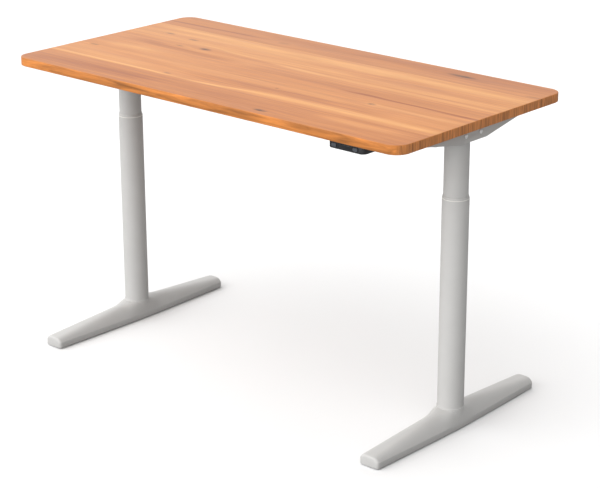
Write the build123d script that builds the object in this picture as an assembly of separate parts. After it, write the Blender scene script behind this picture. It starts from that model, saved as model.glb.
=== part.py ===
from build123d import *
import math
import os

# Height adjustable standing desk, in millimetres. +X runs along the worktop, -Y is the side where the
# user sits, +Z is up. The origin is on the floor, under the middle of the worktop.

# Worktop
TOP_LENGTH = 1400.0
TOP_DEPTH = 700.0
TOP_THICK = 25.0
TOP_CORNER = 41.0
TOP_EASE = 2.0
DESK_HEIGHT = 875.0
UNDERSIDE = DESK_HEIGHT - TOP_THICK

# Columns: two stages, the upper tube slides in the lower one
COLUMN_X = 608.7
COLUMN_Y = 4.0
UPPER_R = 33.0
UPPER_WALL = 2.0
UPPER_LENGTH = 570.0
LOWER_R = 36.0
LOWER_WALL = 1.5
RIM_Z = 643.5
COLLAR_HEIGHT = 8.5
COLLAR_BAND = 1.5
GLIDE_LENGTH = 44.0
FREE_GAP = 0.3
RUN_GAP = 0.1

# Column head and support arms
HEAD_HALF_WIDTH = 50.5
HEAD_HALF_DEPTH = 37.0
HEAD_HEIGHT = 44.5
HEAD_WALL = 4.0
HEAD_FLOOR = 5.0
HEAD_BOTTOM = UNDERSIDE - HEAD_HEIGHT
HEAD_SPIGOT = 16.0
ARM_REACH = 262.0
ARM_FLAT = 57.0
ARM_SLOPE = 0.188
ARM_WALL = 3.5
ARM_TONGUE = 12.0
ARM_TIP_CORNER = 18.0
ARM_BOSS_R = 6.5
BOLT_R = 3.0
BOLT_HEAD_R = 5.5
BOLT_HEAD_HEIGHT = 2.8
BOLT_HEAD_ROUND = 1.6
BOLT_SOCKET_R = 2.2
SIDE_BOLT_Y = 31.0
SIDE_BOLT_Z = UNDERSIDE - 25.6
SCREW_X = 36.0
SCREW_ROWS = (140.0, 225.0)

# Foot, measured from the column's axis
FOOT_HALF_LENGTH = 345.0
FOOT_MID_HALF_WIDTH = 41.0
FOOT_TIP_HALF_WIDTH = 31.5
FOOT_RIDGE_HEIGHT = 60.0
FOOT_TIP_HEIGHT = 32.0
FOOT_SIDE_HEIGHT = 20.0
FOOT_TOP_Z = 60.5
FOOT_GAP = 3.0
FOOT_TIP_CORNER = 9.0
BOSS_R = 37.5
PAD_R = 21.0
PAD_Y = 292.0
PAD_STUD_R = 15.0
PAD_STUD_HEIGHT = 6.0
FOOT_WALL = 5.0
FOOT_HOLLOW = (70.0, 130.0, 190.0, 250.0)
FOOT_BOLT_R = 4.0
FOOT_BOLT_CIRCLE = 22.0
FOOT_BOLT_HEAD_R = 6.5
FOOT_BOLT_HEAD_HEIGHT = 8.0
FOOT_COUNTERBORE_R = 8.0
FOOT_COUNTERBORE_Z = 30.0

# Spindle drive
SPINDLE_R = 8.0
SPINDLE_DROP = 530.0
NUT_TUBE_R = 13.0
NUT_TUBE_BORE = 10.5
NUT_BOTTOM = 612.0
NUT_TOP = 645.0
PLUG_HEIGHT = 20.0
PLUG_CAP = 3.0
SPINDLE_NECK_R = 6.0
GEAR_Z = 826.0
GEAR_R = 16.0
PINION_R = 8.0
MOTOR_R = 22.0
MOTOR_LENGTH = 115.0
SHAFT_R = 4.0
BEARING_R = 14.0
MOTOR_CAP = 14.0
MOTOR_BOSS_R = 10.0
SHAFT_LENGTH = 60.0
GEARBOX_X = (-24.0, 38.0)
GEARBOX_HALF_WIDTH = 24.0
GEARBOX_TOP = UNDERSIDE - 4.0
GEARBOX_WALL = 3.0

# Rails between the arms
RAIL_Y = 90.0
RAIL_SIZE = 30.0
RAIL_WALL = 2.0
RAIL_DEPTH = 3.0
PLATE_THICK = 4.0
PLATE_HALF = 27.0
PLATE_BOLT_Y = 21.0
PLATE_BOLT_Z = UNDERSIDE - 17.0

# Control box, hung under the worktop between the rails
BOX_X = 150.0
BOX_LENGTH = 240.0
BOX_WIDTH = 110.0
BOX_HEIGHT = 38.0
BOX_WALL = 2.5
BOX_CORNER = 6.0
BOX_EAR = 14.0
PORT_SIZE = 9.0
PORT_PITCH = 18.0
STRIP_HALF_HEIGHT = 8.0

# Handset, under the front edge at the right
HANDSET_LEFT = 476.0
HANDSET_RIGHT = 588.0
HANDSET_FRONT = -345.0
HANDSET_DEPTH = 60.0
HANDSET_HEIGHT = 19.0
HANDSET_WALL = 2.5
HANDSET_BOTTOM = UNDERSIDE - HANDSET_HEIGHT
FASCIA_LEFT = 481.0
FASCIA_RIGHT = 571.0
FASCIA_THICK = 1.5
KEY_WIDTH = 15.0
KEY_HEIGHT = 9.0
KEY_CORNER = 2.5
KEY_LEFT_X = 492.0
KEY_RIGHT_X = 560.0
KEY_GAP = 0.3
KEY_PROUD = 1.2
DISPLAY_WIDTH = 36.0
DISPLAY_HALF_HEIGHT = 5.0
DISPLAY_X = (KEY_LEFT_X + KEY_RIGHT_X) / 2

# Wood screws
SCREW_BITE = 14.0
SCREW_R = 2.5
PANEL_SCREW_R = 2.0
PANEL_HEAD_R = 3.8
PANEL_HEAD_HEIGHT = 2.4
WOOD_HEAD_R = 5.0
WOOD_HEAD_HEIGHT = 3.2
PANEL_SCREW_SEAT = UNDERSIDE - 2.5
PILOT_GAP = 0.1
BOARD_THICK = 1.6
CUT = 1.0


def block(x0, x1, y0, y1, z0, z1):
    """A box between two corners."""
    middle = Pos((x0 + x1) / 2, (y0 + y1) / 2, (z0 + z1) / 2)
    return middle * Box(x1 - x0, y1 - y0, z1 - z0)


def rod_z(radius, z0, z1, x=0.0, y=0.0):
    """An upright cylinder."""
    return Pos(x, y, (z0 + z1) / 2) * Cylinder(radius, z1 - z0)


def rod_x(radius, x0, x1, y=0.0, z=0.0):
    """A cylinder along X."""
    return Pos((x0 + x1) / 2, y, z) * Rot(0, 90, 0) * Cylinder(radius, x1 - x0)


def ring_z(outer, inner, z0, z1):
    """An upright tube on the column's axis."""
    return rod_z(outer, z0, z1) - rod_z(inner, z0 - 1, z1 + 1)


def cone_x(r0, r1, x0, x1, z):
    """A cone along X, r0 at x0 and r1 at x1."""
    return Pos((x0 + x1) / 2, 0, z) * Rot(0, 90, 0) * Cone(r0, r1, x1 - x0)


def together(pieces):
    """Several loose solids kept as one group."""
    solids = []
    for piece in pieces:
        solids.extend(piece.solids())
    return Compound(children=solids)


def save(name, shape):
    export_step(shape, "parts/" + name + ".step")


def arm_depth(y):
    """How far the arm reaches below the worktop at a distance y from the column."""
    return HEAD_HEIGHT - ARM_SLOPE * max(0.0, abs(y) - ARM_FLAT)


def screw_places():
    """Wood screws of both arms of one side, from the column's axis."""
    return [(x, y * front) for front in (-1, 1) for y in SCREW_ROWS for x in (-SCREW_X, SCREW_X)]


# ---- worktop ---------------------------------------------------------------------------------------

def box_screw_places():
    x = BOX_LENGTH / 2 + BOX_EAR / 2
    y = BOX_WIDTH / 2 - 12
    return [(BOX_X + sx * x, COLUMN_Y + sy * y) for sx in (-1, 1) for sy in (-1, 1)]


def handset_screw_places():
    y = HANDSET_FRONT + HANDSET_DEPTH - 12
    return [(HANDSET_LEFT + 14, y), (HANDSET_RIGHT - 14, y)]


def worktop():
    top = Pos(0, 0, UNDERSIDE) * extrude(RectangleRounded(TOP_LENGTH, TOP_DEPTH, TOP_CORNER), TOP_THICK)
    rims = top.faces().sort_by(Axis.Z)[-1].edges() + top.faces().sort_by(Axis.Z)[0].edges()
    top = fillet(rims, TOP_EASE)
    for sign in (-1, 1):
        for x, y in screw_places():
            top -= rod_z(SCREW_R + PILOT_GAP, UNDERSIDE - 1, UNDERSIDE + SCREW_BITE + PILOT_GAP,
                         sign * COLUMN_X + x, COLUMN_Y + y)
    for x, y in box_screw_places() + handset_screw_places():
        top -= rod_z(PANEL_SCREW_R + PILOT_GAP, UNDERSIDE - 1, UNDERSIDE + SCREW_BITE + PILOT_GAP, x, y)
    return top


# ---- foot ------------------------------------------------------------------------------------------

def ridge_height(y):
    """Height of the foot's ridge, which falls from the column to the tip."""
    along = abs(y) / FOOT_HALF_LENGTH
    return FOOT_RIDGE_HEIGHT - (FOOT_RIDGE_HEIGHT - FOOT_TIP_HEIGHT) * along


def half_width(y):
    """Half of the foot's width in plan."""
    along = abs(y) / FOOT_HALF_LENGTH
    return FOOT_MID_HALF_WIDTH - (FOOT_MID_HALF_WIDTH - FOOT_TIP_HALF_WIDTH) * along ** 1.3


def flatness(y):
    """How flat the crown is: full under the column, a plain arch beside it, flatter at the tip."""
    under = 6.0 * math.exp(-((abs(y) / 48.0) ** 3))
    tip = 2.0 * (abs(y) / FOOT_HALF_LENGTH) ** 2
    return 2.0 + under + tip


def foot_section(y, inset=0.0):
    """The foot's section at y: flat base, upright sides and an arched crown. With an inset, it is the
    hollow below the foot, which is open at the base."""
    base = FOOT_GAP if inset == 0 else 0.0
    w = half_width(y) - inset
    side = FOOT_SIDE_HEIGHT - inset
    rise = ridge_height(y) - FOOT_SIDE_HEIGHT
    power = flatness(y)
    steps = 12
    crown = []
    for i in range(steps + 1):
        across = math.cos(math.pi * i / steps)
        crown.append((w * across, side + rise * (1 - abs(across) ** power)))
    start, end = crown[0], crown[-1]
    sides = [Line(end, (end[0], base)), Line((end[0], base), (start[0], base)), Line((start[0], base), start)]
    outline = Wire([Spline(*crown)] + sides)
    return Plane(origin=(0, y, 0), x_dir=(1, 0, 0), z_dir=(0, -1, 0)) * make_face(outline)


def foot_half():
    """The rear half of the foot, in two smooth stretches: the flare at the column and the long arm."""
    flare = (0.0, 0.07, 0.13, 0.19, 0.27)
    arm = (0.27, 0.4, 0.6, 0.8, 1.0)
    stretches = [loft([foot_section(FOOT_HALF_LENGTH * s) for s in part]) for part in (flare, arm)]
    return stretches[0] + stretches[1]


def foot_plan():
    """The foot's outline from above, with its rounded tips."""
    straight = FOOT_HALF_LENGTH - FOOT_TIP_CORNER
    tips = RectangleRounded(2 * half_width(straight), 2 * FOOT_HALF_LENGTH, FOOT_TIP_CORNER)
    return tips + Rectangle(2 * FOOT_MID_HALF_WIDTH + 2, 2 * straight)


def foot():
    half = foot_half()
    body = half + mirror(half, about=Plane.XZ)
    body &= extrude(foot_plan(), FOOT_TOP_Z + 20)
    body += rod_z(BOSS_R, FOOT_TOP_Z - 25, FOOT_TOP_Z)
    for sign in (-1, 1):
        body -= loft([foot_section(sign * y, FOOT_WALL) for y in FOOT_HOLLOW])
        body -= rod_z(PAD_STUD_R, FOOT_GAP - CUT, FOOT_GAP + PAD_STUD_HEIGHT, 0, sign * PAD_Y)
    for x, y in foot_bolt_places():
        body -= rod_z(FOOT_BOLT_R, FOOT_GAP - CUT, FOOT_TOP_Z + CUT, x, y)
        body -= rod_z(FOOT_COUNTERBORE_R, FOOT_GAP - CUT, FOOT_COUNTERBORE_Z, x, y)
    return body


def foot_bolt_places():
    reach = FOOT_BOLT_CIRCLE * math.sqrt(0.5)
    return [(sx * reach, sy * reach) for sx in (-1, 1) for sy in (-1, 1)]


def foot_bolts():
    pieces = []
    seat = FOOT_COUNTERBORE_Z
    base = seat - FOOT_BOLT_HEAD_HEIGHT
    for x, y in foot_bolt_places():
        head = rod_z(FOOT_BOLT_HEAD_R, base, seat, x, y) - rod_z(BOLT_R, base - CUT, base + 4, x, y)
        pieces.append(head + rod_z(FOOT_BOLT_R, seat, FOOT_TOP_Z + PLUG_HEIGHT - PLUG_CAP, x, y))
    return together(pieces)


def foot_pads():
    pieces = []
    for sign in (-1, 1):
        pad = rod_z(PAD_R, 0, FOOT_GAP, 0, sign * PAD_Y)
        pieces.append(pad + rod_z(PAD_STUD_R, FOOT_GAP, FOOT_GAP + PAD_STUD_HEIGHT, 0, sign * PAD_Y))
    return together(pieces)


# ---- lower stage -----------------------------------------------------------------------------------

def lower_tube():
    return ring_z(LOWER_R, LOWER_R - LOWER_WALL, FOOT_TOP_Z, RIM_Z)


def base_plug():
    plug = rod_z(LOWER_R - LOWER_WALL, FOOT_TOP_Z, FOOT_TOP_Z + PLUG_HEIGHT)
    for x, y in foot_bolt_places():
        plug -= rod_z(FOOT_BOLT_R, FOOT_TOP_Z - CUT, FOOT_TOP_Z + PLUG_HEIGHT - PLUG_CAP, x, y)
    return plug


def rim_collar():
    """A trim ring: a short cylinder, then a cone that runs in to the upper tube."""
    band = RIM_Z + COLLAR_BAND
    top = RIM_Z + COLLAR_HEIGHT
    body = rod_z(LOWER_R, RIM_Z, band)
    body += Pos(0, 0, (band + top) / 2) * Cone(LOWER_R, UPPER_R + 1.1, top - band)
    return body - rod_z(UPPER_R + FREE_GAP, RIM_Z - CUT, top + CUT)


def lower_glide():
    return ring_z(LOWER_R - LOWER_WALL, UPPER_R + RUN_GAP, RIM_Z - GLIDE_LENGTH, RIM_Z)


def nut_tube():
    return ring_z(NUT_TUBE_R, NUT_TUBE_BORE, FOOT_TOP_Z + PLUG_HEIGHT, NUT_BOTTOM)


def spindle_nut():
    body = rod_z(NUT_TUBE_R + 3, NUT_BOTTOM, NUT_BOTTOM + 8) + rod_z(NUT_TUBE_R, NUT_BOTTOM + 8, NUT_TOP)
    return body - rod_z(SPINDLE_R + FREE_GAP, NUT_BOTTOM - CUT, NUT_TOP + CUT)


# ---- upper stage -----------------------------------------------------------------------------------

def upper_tube():
    return ring_z(UPPER_R, UPPER_R - UPPER_WALL, HEAD_BOTTOM - UPPER_LENGTH, HEAD_BOTTOM)


def upper_glide():
    bottom = HEAD_BOTTOM - UPPER_LENGTH
    return ring_z(LOWER_R - LOWER_WALL - RUN_GAP, UPPER_R, bottom, bottom + GLIDE_LENGTH)


def spindle():
    shoulder = GEAR_Z - PINION_R - 3.5
    body = rod_z(SPINDLE_R, HEAD_BOTTOM - SPINDLE_DROP, shoulder)
    return body + rod_z(SPINDLE_NECK_R, shoulder, GEAR_Z - PINION_R + 4)


def bevel_gear():
    """The driven gear: a disc and the cone that its teeth would fill."""
    base = GEAR_Z - PINION_R - FREE_GAP
    disc = rod_z(GEAR_R, base - 3.2, base)
    teeth = Pos(0, 0, base + 2) * Cone(GEAR_R, GEAR_R / 2, 4)
    return disc + teeth - rod_z(SPINDLE_NECK_R, base - 4, base + 5)


def drive_pinion():
    """The motor's output shaft with the small bevel gear on its end."""
    start = GEAR_R / 2 + FREE_GAP
    end = GEAR_R + FREE_GAP
    pinion = cone_x(PINION_R / 2, PINION_R, start, end, GEAR_Z) + rod_x(PINION_R, end, end + 3, 0, GEAR_Z)
    return pinion + rod_x(SHAFT_R, end + 3, HEAD_HALF_WIDTH + SHAFT_LENGTH, 0, GEAR_Z)


def spindle_bearing():
    return ring_z(BEARING_R, SPINDLE_R + 0.05, HEAD_BOTTOM, HEAD_BOTTOM + HEAD_FLOOR + 3)


def gearbox_housing():
    floor = HEAD_BOTTOM + HEAD_FLOOR
    x0, x1 = GEARBOX_X
    half = GEARBOX_HALF_WIDTH
    w = GEARBOX_WALL
    body = block(x0, x1, -half, half, floor, GEARBOX_TOP)
    body -= block(x0 + w, x1 - w, w - half, half - w, floor + w, GEARBOX_TOP - w)
    body -= rod_z(BEARING_R, floor - CUT, floor + w + CUT)
    return body - rod_x(SHAFT_R + FREE_GAP, x1 - w - CUT, x1 + CUT, 0, GEAR_Z)


def motor():
    start = HEAD_HALF_WIDTH
    end = start + MOTOR_LENGTH
    boss = GEARBOX_X[1]
    body = rod_x(MOTOR_R, start, end - MOTOR_CAP, 0, GEAR_Z)
    body += rod_x(MOTOR_R - 3, end - MOTOR_CAP, end, 0, GEAR_Z)
    body += rod_x(MOTOR_BOSS_R, boss, start, 0, GEAR_Z)
    return body - rod_x(SHAFT_R + FREE_GAP, boss - CUT, start + SHAFT_LENGTH + CUT, 0, GEAR_Z)


def column_head():
    w = HEAD_HALF_WIDTH
    d = HEAD_HALF_DEPTH
    body = block(-w, w, -d, d, HEAD_BOTTOM, UNDERSIDE)
    floor = HEAD_BOTTOM + HEAD_FLOOR
    body -= block(HEAD_WALL - w, w - HEAD_WALL, -d - CUT, d + CUT, floor, UNDERSIDE + CUT)
    body += rod_z(UPPER_R - UPPER_WALL, HEAD_BOTTOM - HEAD_SPIGOT, HEAD_BOTTOM)
    body -= rod_z(BEARING_R, HEAD_BOTTOM - HEAD_SPIGOT - CUT, floor + CUT)
    body -= rod_x(MOTOR_BOSS_R, w - HEAD_WALL - CUT, w + CUT, 0, GEAR_Z)
    for y in (-SIDE_BOLT_Y, SIDE_BOLT_Y):
        body -= rod_x(BOLT_R, -w - CUT, w + CUT, y, SIDE_BOLT_Z)
    return body


def side_bolts():
    """Bright button-head bolts that hold the arms' tongues in the head."""
    w = HEAD_HALF_WIDTH
    pieces = []
    for sign in (-1, 1):
        for y in (-SIDE_BOLT_Y, SIDE_BOLT_Y):
            ends = sorted((sign * w, sign * (w + BOLT_HEAD_HEIGHT)))
            stem = sorted((sign * (w - ARM_TONGUE), sign * w))
            head = rod_x(BOLT_HEAD_R, ends[0], ends[1], y, SIDE_BOLT_Z)
            outer = head.faces().sort_by(Axis.X)[-1 if sign > 0 else 0]
            head = fillet(outer.edges(), BOLT_HEAD_ROUND)
            socket = sorted((sign * (w + 1.2), sign * (w + BOLT_HEAD_HEIGHT + CUT)))
            head -= rod_x(BOLT_SOCKET_R, socket[0], socket[1], y, SIDE_BOLT_Z)
            pieces.append(head + rod_x(BOLT_R, stem[0], stem[1], y, SIDE_BOLT_Z))
    return together(pieces)


def rear_arm():
    """A cast arm, open below, that tapers towards its tip. Its tongues sit inside the head's walls."""
    w = HEAD_HALF_WIDTH
    near = HEAD_HALF_DEPTH
    tip_depth = arm_depth(ARM_REACH)
    points = [(near, UNDERSIDE), (near, HEAD_BOTTOM), (ARM_FLAT, HEAD_BOTTOM),
              (ARM_REACH, UNDERSIDE - tip_depth), (ARM_REACH, UNDERSIDE)]
    side = Plane.YZ * make_face(Polyline(*points, close=True))
    body = extrude(side, w, both=True)
    upright = body.edges().filter_by(Axis.Z).sort_by(Axis.Y)[-2:]
    body = fillet(upright, ARM_TIP_CORNER)
    t = ARM_WALL
    body -= block(t - w, w - t, near + t, ARM_REACH - ARM_TIP_CORNER, HEAD_BOTTOM - CUT, UNDERSIDE - t)
    for x in (-SCREW_X, SCREW_X):
        for y in SCREW_ROWS:
            seat = UNDERSIDE - arm_depth(y)
            body += rod_z(ARM_BOSS_R, seat, UNDERSIDE - CUT, x, y)
            body -= rod_z(SCREW_R + PILOT_GAP, HEAD_BOTTOM - CUT, UNDERSIDE + CUT, x, y)
            body -= rod_z(ARM_BOSS_R + 0.5, HEAD_BOTTOM - CUT, seat, x, y)
    for sign in (-1, 1):
        walls = sorted((sign * (w - HEAD_WALL), sign * (w - 2 * HEAD_WALL)))
        tongue = block(walls[0], walls[1], near - ARM_TONGUE, near, HEAD_BOTTOM + 8, UNDERSIDE - 4)
        body += tongue - rod_x(BOLT_R, walls[0] - CUT, walls[1] + CUT, SIDE_BOLT_Y, SIDE_BOLT_Z)
    for y in (RAIL_Y - PLATE_BOLT_Y, RAIL_Y + PLATE_BOLT_Y):
        body -= rod_x(BOLT_R, w - t - CUT, w + CUT, y, PLATE_BOLT_Z)
    return body


def front_arm():
    return mirror(rear_arm(), about=Plane.XZ)


def worktop_screws():
    pieces = []
    for x, y in screw_places():
        seat = UNDERSIDE - arm_depth(y)
        head = rod_z(WOOD_HEAD_R, seat - WOOD_HEAD_HEIGHT, seat, x, y)
        head -= rod_z(1.6, seat - WOOD_HEAD_HEIGHT - CUT, seat - WOOD_HEAD_HEIGHT / 2, x, y)
        pieces.append(head + rod_z(SCREW_R, seat, UNDERSIDE + SCREW_BITE, x, y))
    return together(pieces)


# ---- rails -----------------------------------------------------------------------------------------

def rail(y):
    """A square tube with a bolted plate on each end."""
    end = COLUMN_X - HEAD_HALF_WIDTH
    top = UNDERSIDE - RAIL_DEPTH
    half = RAIL_SIZE / 2
    w = RAIL_WALL
    inner = end - PLATE_THICK
    body = block(-inner, inner, y - half, y + half, top - RAIL_SIZE, top)
    body -= block(-inner - CUT, inner + CUT, y - half + w, y + half - w, top - RAIL_SIZE + w, top - w)
    for sign in (-1, 1):
        ends = sorted((sign * inner, sign * end))
        body += block(ends[0], ends[1], y - PLATE_HALF, y + PLATE_HALF, top - RAIL_SIZE, top)
        for place in (y - PLATE_BOLT_Y, y + PLATE_BOLT_Y):
            body -= rod_x(BOLT_R, ends[0] - CUT, ends[1] + CUT, place, PLATE_BOLT_Z)
    return body


def rail_bolts():
    pieces = []
    inner = COLUMN_X - HEAD_HALF_WIDTH - PLATE_THICK
    for sign in (-1, 1):
        for y in (-RAIL_Y, RAIL_Y):
            for place in (COLUMN_Y + y - PLATE_BOLT_Y, COLUMN_Y + y + PLATE_BOLT_Y):
                head = sorted((sign * (inner - 4), sign * inner))
                stem = sorted((sign * inner, sign * (inner + PLATE_THICK + ARM_WALL + 2)))
                bolt = rod_x(BOLT_HEAD_R, head[0], head[1], place, PLATE_BOLT_Z)
                pieces.append(bolt + rod_x(BOLT_R, stem[0], stem[1], place, PLATE_BOLT_Z))
    return together(pieces)


# ---- control box -----------------------------------------------------------------------------------

BOX_LEFT = BOX_X - BOX_LENGTH / 2
BOX_RIGHT = BOX_X + BOX_LENGTH / 2
BOX_FRONT = COLUMN_Y - BOX_WIDTH / 2
BOX_REAR = COLUMN_Y + BOX_WIDTH / 2
BOX_BOTTOM = UNDERSIDE - BOX_HEIGHT
INLET_HALF_WIDTH = 15.0
INLET_HALF_HEIGHT = 11.0
BOX_MID_Z = UNDERSIDE - BOX_HEIGHT / 2


def port_places():
    return [COLUMN_Y + PORT_PITCH * i for i in (-1, 0, 1)]


def control_box_shell():
    w = BOX_WALL
    body = block(BOX_LEFT, BOX_RIGHT, BOX_FRONT, BOX_REAR, BOX_BOTTOM, UNDERSIDE - w)
    body = fillet(body.edges().filter_by(Axis.Z), BOX_CORNER)
    body = fillet(body.faces().sort_by(Axis.Z)[0].edges(), 2)
    body -= block(BOX_LEFT + w, BOX_RIGHT - w, BOX_FRONT + w, BOX_REAR - w, BOX_BOTTOM + w, UNDERSIDE)
    half = INLET_HALF_WIDTH
    high = INLET_HALF_HEIGHT
    body -= block(BOX_LEFT - CUT, BOX_LEFT + w + CUT, COLUMN_Y - half, COLUMN_Y + half,
                  BOX_MID_Z - high, BOX_MID_Z + high)
    reach = PORT_PITCH + PORT_SIZE
    return body - block(BOX_RIGHT - w - CUT, BOX_RIGHT + CUT, COLUMN_Y - reach, COLUMN_Y + reach,
                        BOX_MID_Z - STRIP_HALF_HEIGHT, BOX_MID_Z + STRIP_HALF_HEIGHT)


def control_box_lid():
    """The flat plate that the box hangs from, with an ear beyond each corner."""
    z0 = UNDERSIDE - BOX_WALL
    body = block(BOX_LEFT - BOX_EAR, BOX_RIGHT + BOX_EAR, BOX_FRONT, BOX_REAR, z0, UNDERSIDE)
    body = fillet(body.edges().filter_by(Axis.Z), BOX_CORNER)
    for x, y in box_screw_places():
        body -= rod_z(PANEL_SCREW_R + PILOT_GAP, z0 - CUT, UNDERSIDE + CUT, x, y)
    return body


def control_board():
    z0 = BOX_BOTTOM + BOX_WALL + 4
    return block(BOX_LEFT + 22, BOX_RIGHT - 18, BOX_FRONT + 8, BOX_REAR - 8, z0, z0 + BOARD_THICK)


def mains_inlet():
    """A recessed appliance inlet with its three blades."""
    half = INLET_HALF_WIDTH
    high = INLET_HALF_HEIGHT
    x0 = BOX_LEFT
    body = block(x0, x0 + 18, COLUMN_Y - half, COLUMN_Y + half, BOX_MID_Z - high, BOX_MID_Z + high)
    body -= block(x0 - CUT, x0 + 15, COLUMN_Y - half + 3, COLUMN_Y + half - 3,
                  BOX_MID_Z - high + 3, BOX_MID_Z + high - 3)
    for y, z in ((-6, -2), (6, -2), (0, 3)):
        body += block(x0 + 7, x0 + 16, COLUMN_Y + y - 0.8, COLUMN_Y + y + 0.8,
                      BOX_MID_Z + z - 2, BOX_MID_Z + z + 2)
    return body


def socket_strip():
    """One moulded strip with the sockets of the two motors and the handset."""
    reach = PORT_PITCH + PORT_SIZE
    body = block(BOX_RIGHT - 14, BOX_RIGHT, COLUMN_Y - reach, COLUMN_Y + reach,
                 BOX_MID_Z - STRIP_HALF_HEIGHT, BOX_MID_Z + STRIP_HALF_HEIGHT)
    half = PORT_SIZE / 2
    for y in port_places():
        body -= block(BOX_RIGHT - 10, BOX_RIGHT + CUT, y - half, y + half, BOX_MID_Z - half, BOX_MID_Z + half)
    return body


# ---- handset ---------------------------------------------------------------------------------------

HANDSET_MID_Z = UNDERSIDE - HANDSET_HEIGHT / 2
FASCIA_HALF_HEIGHT = 7.0
FASCIA_Y = HANDSET_FRONT + 0.3


def handset_housing():
    y1 = HANDSET_FRONT + HANDSET_DEPTH
    body = block(HANDSET_LEFT, HANDSET_RIGHT, HANDSET_FRONT, y1, HANDSET_BOTTOM, UNDERSIDE)
    upright = body.edges().filter_by(Axis.Z).sort_by(Axis.X)
    body = fillet(upright[2:], 16)
    body = fillet(body.edges().filter_by(Axis.Z).sort_by(Axis.X)[:2], 5)
    body = fillet(body.faces().sort_by(Axis.Z)[0].edges(), 4)
    w = HANDSET_WALL
    body -= block(FASCIA_LEFT + w, FASCIA_RIGHT - w, FASCIA_Y + CUT, y1 - 26,
                  HANDSET_BOTTOM + w, UNDERSIDE - w)
    body -= block(FASCIA_LEFT, FASCIA_RIGHT, HANDSET_FRONT - CUT, FASCIA_Y + FASCIA_THICK,
                  HANDSET_MID_Z - FASCIA_HALF_HEIGHT, HANDSET_MID_Z + FASCIA_HALF_HEIGHT)
    for x, y in handset_screw_places():
        body -= rod_z(PANEL_SCREW_R + PILOT_GAP, HANDSET_BOTTOM - CUT, UNDERSIDE + CUT, x, y)
        body -= rod_z(PANEL_HEAD_R + 0.4, HANDSET_BOTTOM - CUT, PANEL_SCREW_SEAT, x, y)
    return body


def key_outline(x, grow):
    """The key's front outline at x, larger by grow on every side."""
    plate = Plane(origin=(x, 0, HANDSET_MID_Z), x_dir=(1, 0, 0), z_dir=(0, -1, 0))
    return plate * RectangleRounded(KEY_WIDTH + 2 * grow, KEY_HEIGHT + 2 * grow, KEY_CORNER + grow)


def handset_fascia():
    body = block(FASCIA_LEFT, FASCIA_RIGHT, FASCIA_Y, FASCIA_Y + FASCIA_THICK,
                 HANDSET_MID_Z - FASCIA_HALF_HEIGHT, HANDSET_MID_Z + FASCIA_HALF_HEIGHT)
    for x in (KEY_LEFT_X, KEY_RIGHT_X):
        body -= Pos(0, FASCIA_Y + 5, 0) * extrude(key_outline(x, KEY_GAP), 10)
    half = DISPLAY_WIDTH / 2
    return body - block(DISPLAY_X - half, DISPLAY_X + half, FASCIA_Y - CUT, FASCIA_Y + FASCIA_THICK + CUT,
                        HANDSET_MID_Z - DISPLAY_HALF_HEIGHT, HANDSET_MID_Z + DISPLAY_HALF_HEIGHT)


def display_window():
    half = DISPLAY_WIDTH / 2
    return block(DISPLAY_X - half, DISPLAY_X + half, FASCIA_Y, FASCIA_Y + FASCIA_THICK + 1,
                 HANDSET_MID_Z - DISPLAY_HALF_HEIGHT, HANDSET_MID_Z + DISPLAY_HALF_HEIGHT)


def key(x):
    """A key that passes the fascia, with a stem towards its switch."""
    front = FASCIA_Y - KEY_PROUD
    back = FASCIA_Y + FASCIA_THICK + 1
    body = Pos(0, back, 0) * extrude(key_outline(x, 0.0), back - front)
    body = fillet(body.faces().sort_by(Axis.Y)[0].edges(), 0.6)
    return body + block(x - 2, x + 2, back, back + 2.5, HANDSET_MID_Z - 2, HANDSET_MID_Z + 2)


def handset_board():
    y0 = FASCIA_Y + FASCIA_THICK + 6
    return block(FASCIA_LEFT + 6, FASCIA_RIGHT - 6, y0, y0 + BOARD_THICK, HANDSET_BOTTOM + 4, UNDERSIDE - 4)


def panel_screws():
    """Identical short screws that hold the control box and the handset."""
    pieces = []
    for x, y in box_screw_places() + handset_screw_places():
        seat = PANEL_SCREW_SEAT
        head = rod_z(PANEL_HEAD_R, seat - PANEL_HEAD_HEIGHT, seat, x, y)
        head -= rod_z(1.3, seat - PANEL_HEAD_HEIGHT - CUT, seat - CUT, x, y)
        pieces.append(head + rod_z(PANEL_SCREW_R, seat, UNDERSIDE + SCREW_BITE, x, y))
    return together(pieces)


# ---- assembly --------------------------------------------------------------------------------------

# Each is built around the column's axis with +X towards the middle of the desk.
SIDE_PIECES = {
    "foot": foot,
    "foot_bolts": foot_bolts,
    "foot_pads": foot_pads,
    "lower_tube": lower_tube,
    "base_plug": base_plug,
    "rim_collar": rim_collar,
    "lower_glide": lower_glide,
    "nut_tube": nut_tube,
    "spindle_nut": spindle_nut,
    "upper_tube": upper_tube,
    "upper_glide": upper_glide,
    "spindle": spindle,
    "bevel_gear": bevel_gear,
    "drive_pinion": drive_pinion,
    "spindle_bearing": spindle_bearing,
    "gearbox_housing": gearbox_housing,
    "motor": motor,
    "column_head": column_head,
    "side_bolts": side_bolts,
    "front_arm": front_arm,
    "rear_arm": rear_arm,
    "worktop_screws": worktop_screws,
}


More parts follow.
